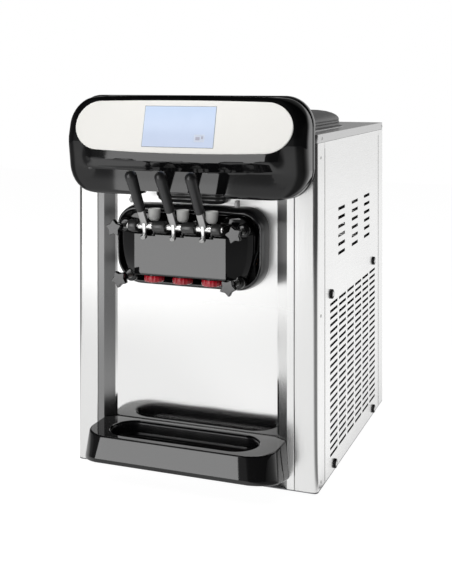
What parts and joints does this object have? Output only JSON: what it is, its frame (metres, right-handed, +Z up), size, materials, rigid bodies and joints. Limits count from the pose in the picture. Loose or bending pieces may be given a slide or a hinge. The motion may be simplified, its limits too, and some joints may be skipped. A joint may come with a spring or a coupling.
{
  "type": "soft serve machine",
  "caption": "Counter-top soft serve machine with draw levers over a clamped dispensing block, a touch screen header, lift-off hopper lids, a drip tray and a vented steel cabinet.",
  "frame": {"origin": "on the counter under the middle of the whole machine, level with the undersides of the feet", "axes": "+Z up; -Y towards the operator, so the levers, header and drip tray face -Y; +X to the right of an onlooker who faces +Y"},
  "size_m": [0.5428, 0.8156, 0.816],
  "materials": {
    "satin_steel": "fine horizontal brushed stainless sheet",
    "front_steel": "bright satin stainless sheet",
    "zinc_sheet": "zinc plated folded sheet",
    "rubber": "moulded rubber",
    "gloss_black": "high gloss black moulding",
    "black_plastic": "satin black moulding",
    "cream_panel": "smooth off-white face",
    "screen_glass": "lit display behind glass",
    "circuit_board": "green board with parts",
    "chrome_parts": "bright turned steel",
    "satin_cast": "satin cast metal",
    "valve_plastic": "food safe white plastic",
    "red_plastic": "translucent red moulding",
    "food_steel": "drawn stainless",
    "lid_steel": "pressed stainless lid",
    "cast_housing": "painted casting",
    "dark_paint": "dark enamel",
    "belt_rubber": "rubber belt",
    "fin_aluminium": "aluminium fins on tube",
    "copper": "copper tube"
  },
  "bodies": {
    "cabinet": {"base_pan": "zinc_sheet", "rubber_feet": "rubber", "frame_posts": "zinc_sheet", "left_side_panel": "satin_steel", "right_side_panel": "satin_steel", "rear_panel": "satin_steel", "top_panel": "satin_steel", "front_panel": "front_steel", "left_front_column": "satin_steel", "right_front_column": "satin_steel", "header_shell": "gloss_black", "header_back_cover": "gloss_black", "header_face_panel": "cream_panel", "touch_screen": "screen_glass", "control_board": "circuit_board", "switch_housing": "black_plastic", "head_surround": "gloss_black", "dispensing_block": "gloss_black", "pivot_pin": "chrome_parts", "head_studs": "chrome_parts", "freezing_cylinder_left": "food_steel", "freezing_cylinder_right": "food_steel", "gearbox": "cast_housing", "beater_motor": "dark_paint", "drive_belt": "belt_rubber", "compressor": "dark_paint", "condenser": "fin_aluminium", "fan_shroud": "zinc_sheet", "refrigerant_pipes": "copper", "hopper_left": "food_steel", "hopper_right": "food_steel", "panel_screws": "chrome_parts", "cable_gland": "black_plastic"},
    "lever_1": {"lever_arm_1": "satin_cast", "lever_grip_1": "black_plastic"},
    "valve_1": {"draw_valve_1": "valve_plastic"},
    "cap_1": {"nozzle_cap_1": "red_plastic"},
    "lever_2": {"lever_arm_2": "satin_cast", "lever_grip_2": "black_plastic"},
    "valve_2": {"draw_valve_2": "valve_plastic"},
    "cap_2": {"nozzle_cap_2": "red_plastic"},
    "lever_3": {"lever_arm_3": "satin_cast", "lever_grip_3": "black_plastic"},
    "valve_3": {"draw_valve_3": "valve_plastic"},
    "cap_3": {"nozzle_cap_3": "red_plastic"},
    "knob_1": {"star_knob_1": "black_plastic"},
    "knob_2": {"star_knob_2": "black_plastic"},
    "knob_3": {"star_knob_3": "black_plastic"},
    "knob_4": {"star_knob_4": "black_plastic"},
    "beater_l": {"beater_left": "valve_plastic"},
    "beater_r": {"beater_right": "valve_plastic"},
    "driven_pulley": {"gearbox_pulley": "cast_housing"},
    "drive_pulley": {"motor_pulley": "cast_housing"},
    "fan": {"condenser_fan": "black_plastic"},
    "lid_left": {"hopper_lid_left": "lid_steel"},
    "lid_right": {"hopper_lid_right": "lid_steel"},
    "feed_tube_left": {"mix_tube_left": "valve_plastic"},
    "feed_tube_right": {"mix_tube_right": "valve_plastic"},
    "tray": {"drip_tray": "gloss_black"},
    "pan": {"drip_pan": "black_plastic"}
  },
  "joints": [
    {"name": "draw_lever_1", "type": "hinge", "parent": "cabinet", "child": "lever_1", "pos_m": [-0.064, -0.32818, 0.552], "axis": [1, 0, 0], "range_deg": [0, 40]},
    {"name": "draw_valve_1_lift", "type": "slide", "parent": "cabinet", "child": "valve_1", "axis": [0, 0, 1], "range_m": [0, 0.0307]},
    {"name": "nozzle_cap_1_twist", "type": "hinge", "parent": "cabinet", "child": "cap_1", "pos_m": [-0.064, -0.28618, 0.438], "axis": [0, 0, 1], "continuous": true},
    {"name": "draw_lever_2", "type": "hinge", "parent": "cabinet", "child": "lever_2", "pos_m": [0, -0.32818, 0.552], "axis": [1, 0, 0], "range_deg": [0, 40]},
    {"name": "draw_valve_2_lift", "type": "slide", "parent": "cabinet", "child": "valve_2", "axis": [0, 0, 1], "range_m": [0, 0.0307]},
    {"name": "nozzle_cap_2_twist", "type": "hinge", "parent": "cabinet", "child": "cap_2", "pos_m": [0, -0.28618, 0.438], "axis": [0, 0, 1], "continuous": true},
    {"name": "draw_lever_3", "type": "hinge", "parent": "cabinet", "child": "lever_3", "pos_m": [0.064, -0.32818, 0.552], "axis": [1, 0, 0], "range_deg": [0, 40]},
    {"name": "draw_valve_3_lift", "type": "slide", "parent": "cabinet", "child": "valve_3", "axis": [0, 0, 1], "range_m": [0, 0.0307]},
    {"name": "nozzle_cap_3_twist", "type": "hinge", "parent": "cabinet", "child": "cap_3", "pos_m": [0.064, -0.28618, 0.438], "axis": [0, 0, 1], "continuous": true},
    {"name": "star_knob_1_turn", "type": "hinge", "parent": "cabinet", "child": "knob_1", "pos_m": [-0.1305, -0.33618, 0.5455], "axis": [0, 1, 0], "continuous": true},
    {"name": "star_knob_2_turn", "type": "hinge", "parent": "cabinet", "child": "knob_2", "pos_m": [0.1305, -0.33618, 0.5455], "axis": [0, 1, 0], "continuous": true},
    {"name": "star_knob_3_turn", "type": "hinge", "parent": "cabinet", "child": "knob_3", "pos_m": [-0.1185, -0.33618, 0.442], "axis": [0, 1, 0], "continuous": true},
    {"name": "star_knob_4_turn", "type": "hinge", "parent": "cabinet", "child": "knob_4", "pos_m": [0.1185, -0.33618, 0.442], "axis": [0, 1, 0], "continuous": true},
    {"name": "driven_pulley_spin", "type": "hinge", "parent": "cabinet", "child": "driven_pulley", "pos_m": [0, 0.17382, 0.506], "axis": [0, 1, 0], "continuous": true},
    {"name": "drive_pulley_spin", "type": "hinge", "parent": "cabinet", "child": "drive_pulley", "pos_m": [0, 0.17382, 0.21], "axis": [0, 1, 0], "continuous": true},
    {"name": "beater_l_spin", "type": "hinge", "parent": "cabinet", "child": "beater_l", "pos_m": [-0.07, -0.07618, 0.506], "axis": [0, 1, 0], "continuous": true},
    {"name": "beater_r_spin", "type": "hinge", "parent": "cabinet", "child": "beater_r", "pos_m": [0.07, -0.07618, 0.506], "axis": [0, 1, 0], "continuous": true},
    {"name": "condenser_fan_spin", "type": "hinge", "parent": "cabinet", "child": "fan", "pos_m": [0.18, 0.07382, 0.21], "axis": [1, 0, 0], "continuous": true},
    {"name": "hopper_lid_left_lift", "type": "slide", "parent": "cabinet", "child": "lid_left", "axis": [0, 0, 1], "range_m": [0, 0.2]},
    {"name": "mix_tube_left_turn", "type": "hinge", "parent": "cabinet", "child": "feed_tube_left", "pos_m": [-0.07, -0.10618, 0.64], "axis": [0, 0, 1], "range_deg": [0, 180]},
    {"name": "hopper_lid_right_lift", "type": "slide", "parent": "cabinet", "child": "lid_right", "axis": [0, 0, 1], "range_m": [0, 0.2]},
    {"name": "mix_tube_right_turn", "type": "hinge", "parent": "cabinet", "child": "feed_tube_right", "pos_m": [0.07, -0.10618, 0.64], "axis": [0, 0, 1], "range_deg": [0, 180]},
    {"name": "drip_tray_pull", "type": "slide", "parent": "cabinet", "child": "tray", "axis": [0, -1, 0], "range_m": [0, 0.16]},
    {"name": "drip_pan_lift", "type": "slide", "parent": "tray", "child": "pan", "axis": [0, 0, 1], "range_m": [0, 0.1]}
  ],
  "couplings": [
    {"joint": "draw_valve_1_lift", "follows": "draw_lever_1", "m_per_rad": 0.043798},
    {"joint": "draw_valve_2_lift", "follows": "draw_lever_2", "m_per_rad": 0.043798},
    {"joint": "draw_valve_3_lift", "follows": "draw_lever_3", "m_per_rad": 0.043798},
    {"joint": "drive_pulley_spin", "follows": "driven_pulley_spin", "ratio": 2.5},
    {"joint": "beater_l_spin", "follows": "driven_pulley_spin", "ratio": 0.25},
    {"joint": "beater_r_spin", "follows": "driven_pulley_spin", "ratio": -0.25}
  ]
}
